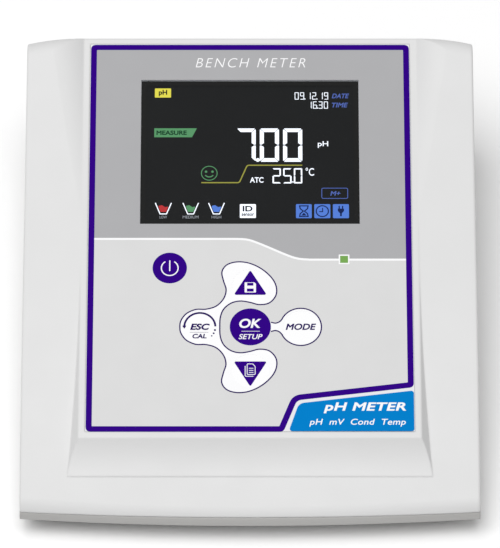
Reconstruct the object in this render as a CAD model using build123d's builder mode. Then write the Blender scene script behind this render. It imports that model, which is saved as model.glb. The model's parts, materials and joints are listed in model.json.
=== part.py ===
"""Bench pH meter: a wedge-shaped desk instrument with a sloped panel.

Frame: +X to the right, +Y to the rear, +Z up, millimetres.  The origin is at
the centre of the overall footprint, on the surface the rubber feet stand on.
"""

import os
from math import cos, radians, sin, tan

from build123d import *

os.makedirs("parts", exist_ok=True)

# ---------------------------------------------------------------- driving sizes

case_width = 160.0
case_depth = 180.0
socket_reach = 10.0            # the sockets stand this far behind the case
front_bow = 3.0                # how far the lip bulges forward at the middle
rear_sweep = (60.5, 2.2)       # rear corners: where they start and how far they fall back
foot_height = 2.5
seam_z = 11.8
wall = 2.5
lip_round = 6.2
rear_round = 6.4
rim_round = 0.8
seam_groove = 0.25             # bevel on both shells where they meet
base_chamfer = 5.8
clearance = 0.1

panel_slope = 12.0
panel_width = 119.4
panel_length = 158.4
panel_front_z = 27.4
lip_to_panel = 24.0

lip_y = -(case_depth + socket_reach) / 2
rear_y = lip_y + case_depth
panel_front_y = lip_y + lip_to_panel

# the sloped panel: local x right, local y up the slope, local z out of the panel
PANEL = Plane(
    origin=(0, panel_front_y, panel_front_z),
    x_dir=(1, 0, 0),
    z_dir=(0, -sin(radians(panel_slope)), cos(radians(panel_slope))),
)

PANEL_NORMAL = Axis((0, 0, 0), PANEL.z_dir)

# top skin seen from the side: a wave that touches the panel plane at one line,
# rises above it towards the rear and falls below it towards the lip
touch = 73.2                   # distance of that line from the panel's front edge
touch_gap = 0.15               # the wave passes this far under the panel there
rear_wave = (760.0, 8.4)       # radius and turn of the rising arc
front_wave = (625.0, 6.7)      # radius and turn of the falling arc
lip_wave = (200.0, 10.0)       # radius and turn of the steeper arc ahead of the panel
shoulder_radius = 21.4         # roll of the cheeks down to the panel
flank_slope = 58.0             # slope of the raised panel's sides and front

film_thickness = 0.4
film_margin = 2.4
panel_skin = 2.8               # depth of the panel's underside below the panel

window_size = (78.0, 58.0)
window_centre = (0.0, 112.4)
window_thickness = 0.8
window_ledge = 1.2

key_travel = 0.3
key_gap = 0.12
board_drop = 9.0               # front board's upper face below the panel
board_thickness = 1.6

# press zones: centre on the panel and radius
KEYS = {
    "power": ((-28.3, 65.9), 6.15),
    "up": ((0.1, 59.0), 6.45),
    "down": ((0.1, 25.8), 6.45),
    "esc": ((-17.6, 42.8), 6.3),
    "ok": ((0.1, 42.8), 7.3),
    "mode": ((17.8, 42.8), 6.3),
}

status_centre = (33.2, 69.3)
status_size = 2.8

rear_opening = (122.0, 26.0)
rear_panel_size = (130.0, 33.0)
rear_panel_thickness = 2.0
socket_z = 30.0
main_board_z = 19.0

case_screw_places = [(-68.0, -74.0), (68.0, -74.0), (-68.0, 70.0), (68.0, 70.0)]
foot_places = [(-58.0, -66.0), (58.0, -66.0), (-58.0, 64.0), (58.0, 64.0)]
main_board_screw_places = [(-58.0, -2.0), (58.0, -2.0), (-58.0, 62.0), (58.0, 62.0)]
front_board_screw_places = [(x, y) for x in (-51.0, 51.0) for y in (12.0, 77.0, 147.0)]


def finish(builder, name):
    """Label a finished piece and write it out under its own name."""
    builder.part.label = name
    export_step(builder.part, f"parts/{name}.step")


# ------------------------------------------------------------------ case forms


def direction(heading):
    """Unit vector at a heading in degrees."""
    return (cos(radians(heading)), sin(radians(heading)))


def arc_end(point, heading, radius, turn):
    """End point of an arc that turns left from a heading in degrees."""
    start, end = radians(heading), radians(heading + turn)
    return (
        point[0] + radius * (sin(end) - sin(start)),
        point[1] - radius * (cos(end) - cos(start)),
    )


def case_form(inset, chamfered=True):
    """Whole form of the case down to its base, inset from the outer skin."""
    slope = radians(panel_slope)
    drop = inset + touch_gap
    touch_point = (
        panel_front_y + touch * cos(slope) + drop * sin(slope),
        panel_front_z + touch * sin(slope) - drop * cos(slope),
    )
    rising = (panel_slope, rear_wave[0] + inset, rear_wave[1])
    falling = (panel_slope + 180, front_wave[0] - inset, front_wave[1])
    steeper = (panel_slope + 180 + front_wave[1], lip_wave[0] - inset, lip_wave[1])
    rear_end = arc_end(touch_point, *rising)
    middle = arc_end(touch_point, *falling)
    front_end = arc_end(middle, *steeper)
    base_z = foot_height + inset
    half = case_width / 2 - inset
    knee, fall = rear_sweep
    sweep_radius = ((half - knee) ** 2 + fall**2) / (2 * fall)
    side_front = lip_y + front_bow + inset
    side_rear = rear_y - fall - inset
    with BuildPart() as form:
        with BuildSketch(Plane.YZ):
            with BuildLine():
                JernArc(touch_point, direction(rising[0]), rising[1], rising[2])
                JernArc(touch_point, direction(falling[0]), falling[1], falling[2])
                JernArc(middle, direction(steeper[0]), steeper[1], steeper[2])
                Line(front_end, (front_end[0], base_z))
                Line((front_end[0], base_z), (rear_end[0], base_z))
                Line((rear_end[0], base_z), rear_end)
            make_face()
        extrude(amount=case_width, both=True)
        with BuildSketch(Plane.XY.offset(base_z)):
            with BuildLine():
                Line((-half, side_front), (-half, side_rear))
                RadiusArc((-half, side_rear), (-knee, rear_y - inset), sweep_radius)
                Line((-knee, rear_y - inset), (knee, rear_y - inset))
                RadiusArc((knee, rear_y - inset), (half, side_rear), sweep_radius)
                Line((half, side_rear), (half, side_front))
                ThreePointArc((half, side_front), (0, lip_y + inset), (-half, side_front))
            make_face()
        extrude(amount=80, mode=Mode.INTERSECT)
        across = form.edges().filter_by(lambda edge: edge.bounding_box().size.X > 10)
        rim = across.filter_by(lambda edge: edge.bounding_box().min.Z > foot_height + wall)
        fillet(rim.filter_by(lambda edge: edge.center().Y < lip_y + 8), lip_round - inset)
        rear_rim = form.edges().filter_by(
            lambda edge: edge.bounding_box().min.Y > rear_y - inset - fall - 0.1
            and edge.bounding_box().min.Z > 50
            and edge.bounding_box().size.X > 10
        )
        fillet(rear_rim, rear_round - inset)
        if chamfered:
            chamfer(form.faces().sort_by(Axis.Z)[0].edges(), base_chamfer - inset)
    return form


def split_form(form, z, keep):
    """The part of a form above or below the seam."""
    with BuildPart() as half_form:
        add(form.part)
        split(bisect_by=Plane.XY.offset(z), keep=keep)
    return half_form


def tilted_box(low, high):
    """Box given by two corners in the panel's own coordinates."""
    size = [b - a for a, b in zip(low, high)]
    with BuildPart() as block:
        with BuildSketch(PANEL.offset(low[2])):
            with Locations(((low[0] + high[0]) / 2, (low[1] + high[1]) / 2)):
                Rectangle(size[0], size[1])
        extrude(amount=size[2])
    return block


def upright_box(low, high):
    """Box given by two corners in the part's frame."""
    with BuildPart() as block:
        with BuildSketch(Plane.XY.offset(low[2])):
            with Locations(((low[0] + high[0]) / 2, (low[1] + high[1]) / 2)):
                Rectangle(high[0] - low[0], high[1] - low[1])
        extrude(amount=high[2] - low[2])
    return block


# ------------------------------------------------------------------ upper case


def panel_station(distance):
    """Plane across the panel at a distance from its front edge, facing the rear."""
    slope = radians(panel_slope)
    return Plane(
        origin=PANEL.from_local_coords((0, distance, 0)),
        x_dir=(1, 0, 0),
        z_dir=(0, cos(slope), sin(slope)),
    )


def valley_tool():
    """Space above the panel between the rising cheeks, with rolled sides."""
    half = panel_width / 2
    overlap = 0.06
    top = 20.0
    with BuildPart() as tool:
        for distance in (panel_length + 6, 135.0, 108.0, touch + 16):
            climb = rear_wave[0] - (rear_wave[0] ** 2 - (distance - touch) ** 2) ** 0.5
            rise = climb - touch_gap + overlap
            run = (2 * shoulder_radius * rise - rise**2) ** 0.5
            with BuildSketch(panel_station(distance)):
                with BuildLine():
                    Line((-half, 0), (half, 0))
                    RadiusArc((half, 0), (half + run, -rise), -shoulder_radius)
                    Line((half + run, -rise), (half + run, -top))
                    Line((half + run, -top), (-half - run, -top))
                    Line((-half - run, -top), (-half - run, -rise))
                    RadiusArc((-half - run, -rise), (-half, 0), -shoulder_radius)
                make_face()
        loft()
    return tool


def raised_panel():
    """Raised block whose top is the panel, with sloped flanks and a hollow front."""
    bevel_start = 56.0
    bevel_turn = 34.5
    bevel_radius = 22.9
    depth = 14.0
    length = touch + 25
    slope = radians(panel_slope)
    front = (panel_front_y, panel_front_z)
    rear = (
        panel_front_y + length * cos(slope),
        panel_front_z + length * sin(slope),
    )
    bevel_end = arc_end(front, 180 + bevel_start, -bevel_radius, -bevel_turn)
    spread = depth / tan(radians(flank_slope))
    half = panel_width / 2
    with BuildPart() as block:
        with BuildSketch(panel_station(-20)):
            with BuildLine():
                Polyline(
                    (-half, 0),
                    (half, 0),
                    (half + spread, depth),
                    (-half - spread, depth),
                    close=True,
                )
            make_face()
        extrude(amount=length + 20)
        with BuildSketch(Plane.YZ):
            with BuildLine():
                Line(rear, front)
                JernArc(front, direction(180 + bevel_start), bevel_radius, -bevel_turn)
                Line(bevel_end, (rear[0], bevel_end[1]))
                Line((rear[0], bevel_end[1]), rear)
            make_face()
        extrude(amount=case_width, both=True, mode=Mode.INTERSECT)
        top_edges = block.edges().filter_by(
            lambda edge: abs(PANEL.to_local_coords(edge.center()).Z) < 0.01
            and PANEL.to_local_coords(edge.center()).Y < length - 1
        )
        fillet(top_edges, 0.6)
    return block


def post_group(places, radius, low, high):
    """Upright round posts at the given places."""
    with BuildPart() as posts:
        with BuildSketch(Plane.XY.offset(low)):
            with Locations(*places):
                Circle(radius)
        extrude(amount=high - low)
    return posts


def tilted_pins(places, radius, low, high):
    """Round pins square to the panel at the given places on it."""
    with BuildPart() as pins:
        with BuildSketch(PANEL.offset(low)):
            with Locations(*places):
                Circle(radius)
        extrude(amount=high - low)
    return pins


whole_case = case_form(0)
inner_space = case_form(wall)
outer_shell = split_form(whole_case, seam_z, Keep.TOP)
upper_space = split_form(inner_space, seam_z, Keep.TOP)
valley = valley_tool()
panel_block = raised_panel()

far = 200.0
above_skin = tilted_box((-far, -far, -panel_skin), (far, far, far))
with BuildPart() as upper_hollow:
    add(upper_space.part)
    add(above_skin.part, mode=Mode.SUBTRACT)
front_pocket = tilted_box((-56.0, 4.0, -26.0), (56.0, 150.0, -panel_skin))
boss_limit = case_form(1.4, chamfered=False)
above_boss = tilted_box((-far, -far, -1.6), (far, far, far))

screw_bosses = post_group(case_screw_places, 4.2, seam_z, 75.0)
with BuildPart() as upper_bosses:
    add(screw_bosses.part)
    add(boss_limit.part, mode=Mode.INTERSECT)
    add(above_boss.part, mode=Mode.SUBTRACT)

board_bosses = tilted_pins(front_board_screw_places, 3.0, -board_drop, -panel_skin + 0.2)
board_pilots = tilted_pins(front_board_screw_places, 1.0, -board_drop - 1, -4.4)
insert_holes = post_group(case_screw_places, 2.3, seam_z - 1, seam_z + 5.7)

film_recess = tilted_box(
    (-panel_width / 2 + film_margin - clearance, film_margin - clearance, -film_thickness),
    (
        panel_width / 2 - film_margin + clearance,
        panel_length - film_margin + clearance,
        5.0,
    ),
)


def window_block(margin, low, high):
    """Block over the display, grown or shrunk by a margin on every side."""
    x, y = window_centre
    half_x, half_y = window_size[0] / 2 + margin, window_size[1] / 2 + margin
    return tilted_box((x - half_x, y - half_y, low), (x + half_x, y + half_y, high))


def status_block(margin, low, high):
    """Square block at the status light."""
    x, y = status_centre
    half = status_size / 2 + margin
    return tilted_box((x - half, y - half, low), (x + half, y + half, high))


window_recess = window_block(clearance, -window_thickness, 5.0)
window_opening = window_block(-window_ledge, -5.0, 5.0)
status_opening = status_block(clearance, -8.0, 5.0)

key_well_depth = film_thickness + 0.7
stem_radius = 4.0
with BuildPart() as key_wells:
    for centre, radius in KEYS.values():
        with BuildSketch(PANEL.offset(-key_well_depth)):
            with Locations(centre):
                Circle(radius + key_gap)
        extrude(amount=5)
        with BuildSketch(PANEL.offset(-5)):
            with Locations(centre):
                Circle(stem_radius + clearance)
        extrude(amount=5)

rear_wall_cut = upright_box(
    (-rear_opening[0] / 2, rear_y - 6, socket_z - rear_opening[1] / 2),
    (rear_opening[0] / 2, rear_y + 5, socket_z + rear_opening[1] / 2),
)
rear_screw_places = [(x, z) for x in (-62.3, 62.3) for z in (socket_z - 9, socket_z + 9)]
plate_face_y = rear_y - wall - 0.2


def rear_bores(places, radius, low, high):
    """Round bores along Y, given by their places in X and Z."""
    with BuildPart() as bores:
        with BuildSketch(Plane.XZ.offset(-high)):
            with Locations(*places):
                Circle(radius)
        extrude(amount=high - low)
    return bores


rear_screw_holes = rear_bores(rear_screw_places, 1.6, rear_y - 6, rear_y + 5)

with BuildPart() as upper_case:
    add(outer_shell.part)
    side_rims = upper_case.edges().filter_by(
        lambda edge: abs(abs(edge.center().X) - case_width / 2) < 0.01
        and edge.bounding_box().max.Z > seam_z + 0.01
    )
    fillet(side_rims, rim_round)
    chamfer(upper_case.faces().sort_by(Axis.Z)[0].edges(), seam_groove)
    add(valley.part, mode=Mode.SUBTRACT)
    add(panel_block.part)
    add(upper_hollow.part, mode=Mode.SUBTRACT)
    add(front_pocket.part, mode=Mode.SUBTRACT)
    add(upper_bosses.part)
    add(board_bosses.part)
    add(board_pilots.part, mode=Mode.SUBTRACT)
    add(insert_holes.part, mode=Mode.SUBTRACT)
    add(film_recess.part, mode=Mode.SUBTRACT)
    add(window_recess.part, mode=Mode.SUBTRACT)
    add(window_opening.part, mode=Mode.SUBTRACT)
    add(status_opening.part, mode=Mode.SUBTRACT)
    add(key_wells.part, mode=Mode.SUBTRACT)
    add(rear_wall_cut.part, mode=Mode.SUBTRACT)
    add(rear_screw_holes.part, mode=Mode.SUBTRACT)
finish(upper_case, "upper_case")


# ------------------------------------------------------------------ lower case

base_z = foot_height
floor_z = base_z + wall
tongue_height = 1.5
screw_head_seat = base_z + 4.0

lower_shell = split_form(whole_case, seam_z, Keep.BOTTOM)
lower_space = split_form(inner_space, seam_z, Keep.BOTTOM)
tongue_outer = case_form(wall + clearance, chamfered=False)
tongue_inner = case_form(wall + 1.3, chamfered=False)

tongue_root_outer = case_form(wall - 0.2, chamfered=False)


def slice_between(form, low, high):
    """The part of a form between two heights."""
    with BuildPart() as band:
        add(form.part)
        split(bisect_by=Plane.XY.offset(low), keep=Keep.TOP)
        split(bisect_by=Plane.XY.offset(high), keep=Keep.BOTTOM)
    return band


tongue_crest = slice_between(tongue_outer, seam_z - 0.5, seam_z + tongue_height)
tongue_root = slice_between(tongue_root_outer, seam_z - 3.0, seam_z)
tongue_void = slice_between(tongue_inner, seam_z - 4.0, seam_z + tongue_height + 1)
with BuildPart() as tongue:
    add(tongue_root.part)
    add(tongue_crest.part)
    add(tongue_void.part, mode=Mode.SUBTRACT)

screw_posts = post_group(case_screw_places, 4.2, floor_z - 0.2, seam_z)
screw_clearance = post_group(case_screw_places, 1.7, 0, seam_z + 1)
screw_counterbores = post_group(case_screw_places, 3.2, 0, screw_head_seat)
screw_blocks = post_group(case_screw_places, 5.0, floor_z - 0.2, screw_head_seat + 1.8)
board_posts = post_group(main_board_screw_places, 3.6, floor_z - 0.2, main_board_z)
board_post_pilots = post_group(main_board_screw_places, 1.2, main_board_z - 8, main_board_z + 1)
foot_recesses = post_group(foot_places, 6.6, 0, base_z + 0.6)

label_size = (70.0, 40.0)
label_recess = upright_box(
    (-label_size[0] / 2 - clearance, -label_size[1] / 2 - clearance, 0),
    (label_size[0] / 2 + clearance, label_size[1] / 2 + clearance, base_z + 0.2),
)

with BuildPart() as floor_ribs:
    with BuildSketch(Plane.XY.offset(floor_z - 0.2)):
        with Locations((0, -40), (0, -20), (0, 20), (0, 44)):
            Rectangle(130, 1.4)
    extrude(amount=3.2)

with BuildPart() as lower_case:
    add(lower_shell.part)
    chamfer(lower_case.faces().sort_by(Axis.Z)[-1].edges(), seam_groove)
    add(lower_space.part, mode=Mode.SUBTRACT)
    add(tongue.part)
    add(screw_posts.part)
    add(screw_blocks.part)
    add(board_posts.part)
    add(floor_ribs.part)
    add(screw_clearance.part, mode=Mode.SUBTRACT)
    add(screw_counterbores.part, mode=Mode.SUBTRACT)
    add(board_post_pilots.part, mode=Mode.SUBTRACT)
    add(foot_recesses.part, mode=Mode.SUBTRACT)
    add(label_recess.part, mode=Mode.SUBTRACT)
finish(lower_case, "lower_case")

with BuildPart() as rating_label:
    with BuildSketch(Plane.XY.offset(base_z)):
        RectangleRounded(label_size[0], label_size[1], 2)
    extrude(amount=0.2)
finish(rating_label, "rating_label")

with BuildPart() as rubber_feet:
    with BuildSketch(Plane.XY):
        with Locations(*foot_places):
            Circle(6.5)
    extrude(amount=base_z + 0.6)
    fillet(rubber_feet.edges().group_by(Axis.Z)[0], 0.8)
finish(rubber_feet, "rubber_feet")

with BuildPart() as threaded_inserts:
    with BuildSketch(Plane.XY.offset(seam_z)):
        with Locations(*case_screw_places):
            Circle(2.25)
            Circle(1.5, mode=Mode.SUBTRACT)
    extrude(amount=5.6)
finish(threaded_inserts, "threaded_inserts")

screw_reach = 4.6
with BuildPart() as case_screws:
    with BuildSketch(Plane.XY.offset(screw_head_seat)):
        with Locations(*case_screw_places):
            Circle(1.45)
    extrude(amount=seam_z + screw_reach - screw_head_seat)
    with BuildSketch(Plane.XY.offset(screw_head_seat - 2.2)):
        with Locations(*case_screw_places):
            Circle(2.8)
    extrude(amount=2.2)
    with BuildSketch(Plane.XY.offset(screw_head_seat - 2.2)):
        with Locations(*case_screw_places):
            Rectangle(3.2, 0.7)
            Rectangle(0.7, 3.2)
    extrude(amount=1.4, mode=Mode.SUBTRACT)
finish(case_screws, "case_screws")

# ------------------------------------------------------------- film and badge

film_low = (-panel_width / 2 + film_margin, film_margin)
film_high = (panel_width / 2 - film_margin, panel_length - film_margin)
film_size = (film_high[0] - film_low[0], film_high[1] - film_low[1])
film_centre = (0.0, (film_low[1] + film_high[1]) / 2)

with BuildPart() as overlay_film:
    with BuildSketch(PANEL.offset(-film_thickness)):
        with Locations(film_centre):
            Rectangle(*film_size)
        with Locations(window_centre):
            Rectangle(*window_size, mode=Mode.SUBTRACT)
        with Locations(status_centre):
            Rectangle(status_size, status_size, mode=Mode.SUBTRACT)
        for centre, radius in KEYS.values():
            with Locations(centre):
                Circle(radius + key_gap, mode=Mode.SUBTRACT)
    extrude(amount=film_thickness)
finish(overlay_film, "overlay_film")

badge_thickness = 0.3
badge_corner = (17.05, 13.05)
with BuildPart() as info_badge:
    with BuildSketch(PANEL):
        with BuildLine():
            Polyline(
                badge_corner,
                (57.1, 18.0),
                (57.1, 2.45),
                (13.5, 2.45),
                close=True,
            )
        make_face()
    extrude(amount=badge_thickness)
    upright = info_badge.edges().filter_by(PANEL_NORMAL)
    leaning = upright.filter_by(
        lambda edge: abs(PANEL.to_local_coords(edge.center()).X - badge_corner[0]) < 0.01
    )
    fillet(leaning, 3.0)
    upright = info_badge.edges().filter_by(PANEL_NORMAL)
    square = upright.filter_by(lambda edge: abs(edge.center().X) > 50 or edge.center().X < 14)
    fillet(square, 0.9)
finish(info_badge, "info_badge")

# -------------------------------------------------------------- display stack

with BuildPart() as display_window:
    add(window_block(0, -window_thickness, 0).part)
    fillet(display_window.faces().sort_by(PANEL_NORMAL)[-1].edges(), 0.15)
finish(display_window, "display_window")


lcd_top = -1.0
lcd_thickness = 2.4
gasket_top = -panel_skin
gasket_thickness = 0.6
frame_top = gasket_top - gasket_thickness

with BuildPart() as lcd_glass:
    add(window_block(-1.5, lcd_top - lcd_thickness, lcd_top).part)
finish(lcd_glass, "lcd_glass")

with BuildPart() as lcd_gasket:
    add(window_block(2.6, frame_top, gasket_top).part)
    add(window_block(-0.8, frame_top - 1, gasket_top + 1).part, mode=Mode.SUBTRACT)
finish(lcd_gasket, "lcd_gasket")

with BuildPart() as lcd_frame:
    add(window_block(3.2, -board_drop, frame_top).part)
    add(window_block(-1.3, -board_drop - 1, frame_top + 1).part, mode=Mode.SUBTRACT)
finish(lcd_frame, "lcd_frame")

backlight_top = lcd_top - lcd_thickness - 0.1
with BuildPart() as backlight:
    add(window_block(-1.5, backlight_top - 3.6, backlight_top).part)
    fillet(backlight.edges().filter_by(PANEL_NORMAL), 1.0)
finish(backlight, "backlight")

light_pipe_length = 6.5
with BuildPart() as status_light_pipe:
    add(status_block(-0.02, -light_pipe_length, 0).part)
finish(status_light_pipe, "status_light_pipe")

with BuildPart() as status_led:
    add(status_block(0.1, -board_drop, -board_drop + 0.9).part)
    add(status_block(-0.3, -board_drop + 0.9, -board_drop + 1.9).part)
finish(status_led, "status_led")

# ------------------------------------------------------------ keys and switches

switch_size = 6.0
switch_height = 3.5
button_radius = 1.75
button_top = -3.9
button_foot = -6.6
switch_well = button_foot - key_travel - 0.5

for key_name, (centre, radius) in KEYS.items():
    with BuildPart() as key_pad:
        with BuildSketch(PANEL.offset(-film_thickness)):
            with Locations(centre):
                Circle(radius)
        extrude(amount=film_thickness)
    finish(key_pad, f"key_{key_name}")

    with BuildPart() as plunger:
        with BuildSketch(PANEL.offset(button_top)):
            with Locations(centre):
                Circle(stem_radius)
        extrude(amount=-button_top - film_thickness)
        with BuildSketch(PANEL.offset(-film_thickness - 0.3)):
            with Locations(centre):
                Circle(stem_radius + 1.2)
        extrude(amount=0.3)
    finish(plunger, f"plunger_{key_name}")

    with BuildPart() as switch_button:
        with BuildSketch(PANEL.offset(button_foot)):
            with Locations(centre):
                Circle(button_radius)
        extrude(amount=button_top - button_foot)
    finish(switch_button, f"switch_button_{key_name}")

key_centres = [centre for centre, radius in KEYS.values()]
with BuildPart() as switch_bodies:
    with BuildSketch(PANEL.offset(-board_drop)):
        with Locations(*key_centres):
            Rectangle(switch_size, switch_size)
    extrude(amount=switch_height)
    with BuildSketch(PANEL.offset(switch_well)):
        with Locations(*key_centres):
            Circle(button_radius + clearance)
    extrude(amount=5, mode=Mode.SUBTRACT)
finish(switch_bodies, "switch_bodies")

# ------------------------------------------------------------------ front board

board_low = -board_drop - board_thickness
front_board_edges = ((-54.0, 8.0), (54.0, 151.0))
board_screw_length = 5.0

with BuildPart() as front_board:
    (low_x, low_y), (high_x, high_y) = front_board_edges
    add(tilted_box((low_x, low_y, board_low), (high_x, high_y, -board_drop)).part)
    fillet(front_board.edges().filter_by(PANEL_NORMAL), 2.0)
    with BuildSketch(PANEL.offset(board_low - 1)):
        with Locations(*front_board_screw_places):
            Circle(1.3)
    extrude(amount=5, mode=Mode.SUBTRACT)
finish(front_board, "front_board")

with BuildPart() as front_board_screws:
    with BuildSketch(PANEL.offset(board_low)):
        with Locations(*front_board_screw_places):
            Circle(0.98)
    extrude(amount=board_screw_length)
    with BuildSketch(PANEL.offset(board_low - 1.6)):
        with Locations(*front_board_screw_places):
            Circle(2.1)
    extrude(amount=1.6)
    with BuildSketch(PANEL.offset(board_low - 1.6)):
        with Locations(*front_board_screw_places):
            Rectangle(2.6, 0.6)
            Rectangle(0.6, 2.6)
    extrude(amount=0.9, mode=Mode.SUBTRACT)
finish(front_board_screws, "front_board_screws")

# ------------------------------------------------------------------- main board

main_top = main_board_z + board_thickness
main_board_low = (-62.0, -8.0)
main_board_high = (62.0, 76.0)

with BuildPart() as main_board:
    with BuildSketch(Plane.XY.offset(main_board_z)):
        with Locations((0, (main_board_low[1] + main_board_high[1]) / 2)):
            RectangleRounded(
                main_board_high[0] - main_board_low[0],
                main_board_high[1] - main_board_low[1],
                2,
            )
        with Locations(*main_board_screw_places):
            Circle(1.6, mode=Mode.SUBTRACT)
    extrude(amount=board_thickness)
finish(main_board, "main_board")

with BuildPart() as main_board_screws:
    with BuildSketch(Plane.XY.offset(main_top - 7.0)):
        with Locations(*main_board_screw_places):
            Circle(1.18)
    extrude(amount=7.0)
    with BuildSketch(Plane.XY.offset(main_top)):
        with Locations(*main_board_screw_places):
            Circle(2.7)
    extrude(amount=2.0)
    with BuildSketch(Plane.XY.offset(main_top + 0.9)):
        with Locations(*main_board_screw_places):
            Rectangle(3.2, 0.7)
            Rectangle(0.7, 3.2)
    extrude(amount=2.0, mode=Mode.SUBTRACT)
finish(main_board_screws, "main_board_screws")


def chip(x, y, width, depth, height):
    """Low block standing on the main board."""
    return upright_box(
        (x - width / 2, y - depth / 2, main_top),
        (x + width / 2, y + depth / 2, main_top + height),
    )


with BuildPart() as shield_can:
    add(chip(36, 38, 34, 24, 7).part)
    fillet(shield_can.edges().filter_by(Axis.Z), 1.0)
    with BuildSketch(Plane.XY.offset(main_top - 1)):
        with Locations((36, 38)):
            Rectangle(33.2, 23.2)
    extrude(amount=7.6, mode=Mode.SUBTRACT)
finish(shield_can, "shield_can")

with BuildPart() as analog_chips:
    for x, y in [(28, 34), (38, 34), (48, 34), (33, 43)]:
        add(chip(x, y, 6, 5, 1.6).part)
finish(analog_chips, "analog_chips")

with BuildPart() as processor_chip:
    add(chip(-6, 30, 14, 14, 1.5).part)
    chamfer(processor_chip.faces().sort_by(Axis.Z)[-1].edges(), 0.2)
finish(processor_chip, "processor_chip")

with BuildPart() as capacitors:
    with BuildSketch(Plane.XY.offset(main_top)):
        with Locations((-44, 48), (-34, 48), (-44, 36)):
            Circle(4.0)
    extrude(amount=9.0)
    fillet(capacitors.faces().group_by(Axis.Z)[-1].edges(), 0.5)
finish(capacitors, "capacitors")

with BuildPart() as buzzer:
    with BuildSketch(Plane.XY.offset(main_top)):
        with Locations((-44, 10)):
            Circle(6.0)
    extrude(amount=6.5)
    with BuildSketch(Plane.XY.offset(main_top + 4)):
        with Locations((-44, 10)):
            Circle(1.0)
    extrude(amount=5, mode=Mode.SUBTRACT)
finish(buzzer, "buzzer")

coin_place = (30.0, 7.0)
with BuildPart() as coin_cell_holder:
    with BuildSketch(Plane.XY.offset(main_top)):
        with Locations(coin_place):
            Circle(11.6)
    extrude(amount=4.2)
    with BuildSketch(Plane.XY.offset(main_top + 1.0)):
        with Locations(coin_place):
            Circle(10.1)
    extrude(amount=5, mode=Mode.SUBTRACT)
finish(coin_cell_holder, "coin_cell_holder")

with BuildPart() as coin_cell:
    with BuildSketch(Plane.XY.offset(main_top + 1.0)):
        with Locations(coin_place):
            Circle(10.0)
    extrude(amount=3.2)
    fillet(coin_cell.edges(), 0.4)
finish(coin_cell, "coin_cell")

# ----------------------------------------------------------------- ribbon cable

ribbon_width = 20.0
ribbon_thickness = 0.3
socket_box = (24.0, 5.0, 2.6)
upper_socket_place = 74.0
lower_socket_front = -6.5

with BuildPart() as ribbon_sockets:
    with BuildSketch(PANEL.offset(board_low - socket_box[2])):
        with Locations((0, upper_socket_place)):
            Rectangle(socket_box[0], socket_box[1])
    extrude(amount=socket_box[2])
    with BuildSketch(Plane.XY.offset(main_top)):
        with Locations((0, lower_socket_front + socket_box[1] / 2)):
            Rectangle(socket_box[0], socket_box[1])
    extrude(amount=socket_box[2])
finish(ribbon_sockets, "ribbon_sockets")

ribbon_start = PANEL.from_local_coords(
    (0, upper_socket_place - socket_box[1] / 2 - 0.02, board_low - socket_box[2] / 2)
)
ribbon_heading = 180 + panel_slope
ribbon_run = 9.0
turn_start = (
    ribbon_start.Y + ribbon_run * cos(radians(ribbon_heading)),
    ribbon_start.Z + ribbon_run * sin(radians(ribbon_heading)),
)
ribbon_end_z = main_top + socket_box[2] / 2
turn_radius = (turn_start[1] - ribbon_end_z) / (1 + cos(radians(panel_slope)))
turn_end = arc_end(turn_start, ribbon_heading, turn_radius, 180 - panel_slope)

with BuildPart() as ribbon_cable:
    with BuildSketch(Plane.YZ.offset(-ribbon_width / 2)):
        with BuildLine() as ribbon_path:
            Line((ribbon_start.Y, ribbon_start.Z), turn_start)
            JernArc(turn_start, direction(ribbon_heading), turn_radius, 180 - panel_slope)
            Line(turn_end, (lower_socket_front - 0.02, ribbon_end_z))
        trace(ribbon_path.line, ribbon_thickness)
    extrude(amount=ribbon_width)
finish(ribbon_cable, "ribbon_cable")

# ------------------------------------------------------- rear panel and sockets

plate_y = plate_face_y - rear_panel_thickness

# places of the sockets along the rear panel, and radii of their necks in its holes
ph_x, reference_x, temperature_x, conductivity_x, usb_x, power_x = 44, 26, 9, -12, -33, -49
ph_neck = 6.35
reference_neck = 4.5
temperature_neck = 5.0
conductivity_neck = 8.0
power_neck = 4.5
usb_shell = (12.0, 11.0)

sockets_through = {
    ph_x: ph_neck,
    reference_x: reference_neck,
    temperature_x: temperature_neck,
    conductivity_x: conductivity_neck,
    power_x: power_neck,
}

with BuildPart() as rear_panel:
    width, height = rear_panel_size
    with BuildSketch(Plane.XZ.offset(-plate_face_y)):
        with Locations((0, socket_z)):
            RectangleRounded(width, height, 2)
        for x, radius in sockets_through.items():
            with Locations((x, socket_z)):
                Circle(radius + clearance, mode=Mode.SUBTRACT)
        with Locations((usb_x, socket_z)):
            usb_hole = [side + 3 * clearance for side in usb_shell]
            Rectangle(*usb_hole, mode=Mode.SUBTRACT)
        with Locations(*rear_screw_places):
            Circle(1.2, mode=Mode.SUBTRACT)
    extrude(amount=rear_panel_thickness)
finish(rear_panel, "rear_panel")

with BuildPart() as rear_panel_screws:
    add(rear_bores(rear_screw_places, 1.18, plate_y - 2, rear_y).part)
    add(rear_bores(rear_screw_places, 2.7, rear_y, rear_y + 1.9).part)
    with BuildSketch(Plane.XZ.offset(-rear_y - 1.9)):
        with Locations(*rear_screw_places):
            Rectangle(3.2, 0.7)
            Rectangle(0.7, 3.2)
    extrude(amount=1.1, mode=Mode.SUBTRACT)
finish(rear_panel_screws, "rear_panel_screws")


def bore(x, radius, low, high):
    """Round solid along Y on the line of sockets."""
    return rear_bores([(x, socket_z)], radius, low, high).part


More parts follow.
